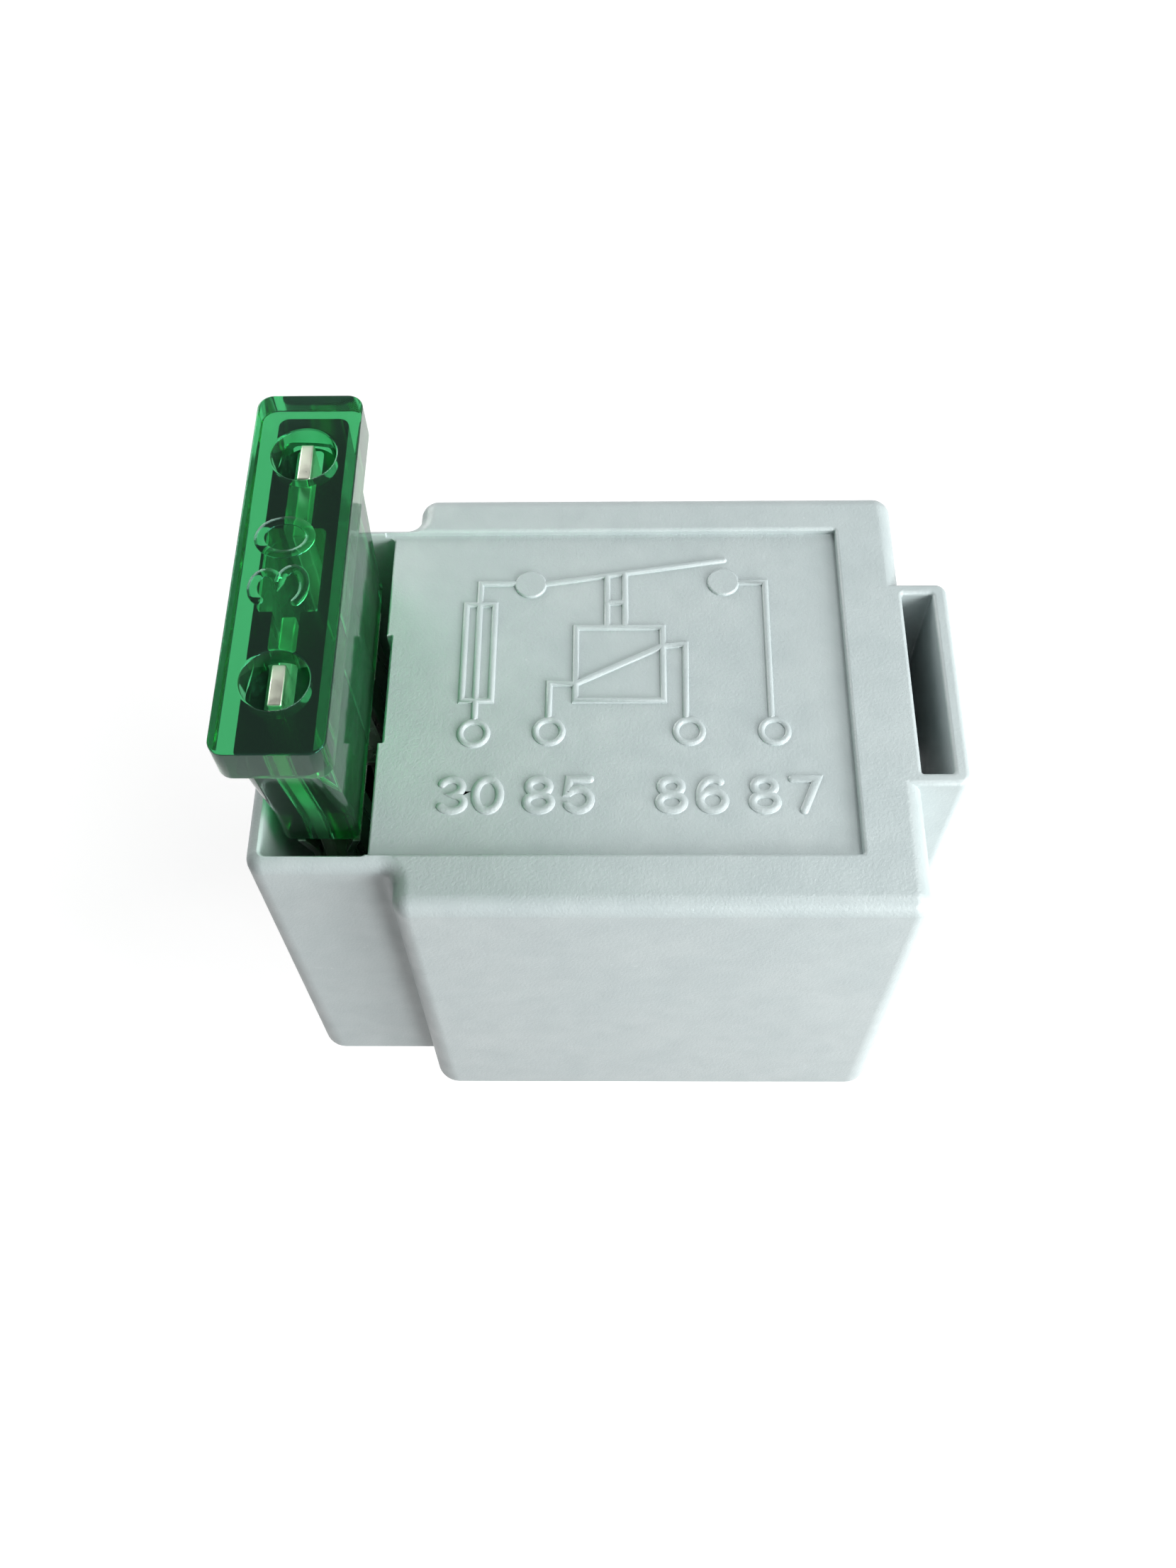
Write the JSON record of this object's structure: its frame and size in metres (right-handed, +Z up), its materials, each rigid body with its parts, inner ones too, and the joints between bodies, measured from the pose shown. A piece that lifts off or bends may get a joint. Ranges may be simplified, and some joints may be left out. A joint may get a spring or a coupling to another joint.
{
  "type": "plug in relay",
  "caption": "Cube shaped plug in relay with blade terminals, a blade fuse standing in a side pocket, and a bracket loop on the other side.",
  "frame": {"origin": "centre of the base's underside, the face that seats on the socket", "axes": "+Z up, away from the socket; +X towards the bracket loop, with the fuse pocket on -X; the front, with terminal 87, is -Y"},
  "size_m": [0.0354, 0.0254, 0.0464],
  "materials": {
    "cover_plastic": "fine matte moulded, pale grey-blue",
    "base_plastic": "black moulded",
    "tinned_brass": "bright tin plate, satin",
    "fuse_plastic": "clear green moulded plastic",
    "fuse_metal": "zinc strip, satin",
    "magnet_iron": "zinc plated soft iron",
    "bobbin_plastic": "ivory moulded",
    "copper_wire": "enamelled copper",
    "spring_steel": "spring wire",
    "leaf_bronze": "rolled bronze strip",
    "contact_silver": "silver alloy, satin"
  },
  "bodies": {
    "frame": {"cover": "cover_plastic", "base": "base_plastic", "terminal_30": "tinned_brass", "terminal_85": "tinned_brass", "terminal_86": "tinned_brass", "terminal_87": "tinned_brass", "feed_strip": "tinned_brass", "common_strip": "tinned_brass", "fuse_clip_back": "tinned_brass", "fuse_clip_front": "tinned_brass", "core": "magnet_iron", "bobbin": "bobbin_plastic", "winding": "copper_wire", "yoke": "magnet_iron", "return_spring": "spring_steel", "fixed_contact": "contact_silver", "coil_lead_85": "copper_wire", "coil_lead_86": "copper_wire", "braid": "copper_wire"},
    "rocker": {"armature": "magnet_iron", "contact_leaf": "leaf_bronze", "moving_contact": "contact_silver", "leaf_rivet_back": "tinned_brass", "leaf_rivet_front": "tinned_brass"},
    "fuse": {"fuse_housing": "fuse_plastic", "fuse_blade_back": "fuse_metal", "fuse_blade_front": "fuse_metal", "fuse_element": "fuse_metal"}
  },
  "joints": [
    {"name": "armature_hinge", "type": "hinge", "parent": "frame", "child": "rocker", "pos_m": [0, 0.00795, 0.0191], "axis": [1, 0, 0], "range_deg": [0, 3.2], "stiffness_Nm_per_rad": 0.01, "springref_deg": -8.59, "deforming": ["return_spring"]},
    {"name": "fuse_pull", "type": "slide", "parent": "frame", "child": "fuse", "axis": [0, 0, 1], "range_m": [0, 0.02]}
  ]
}
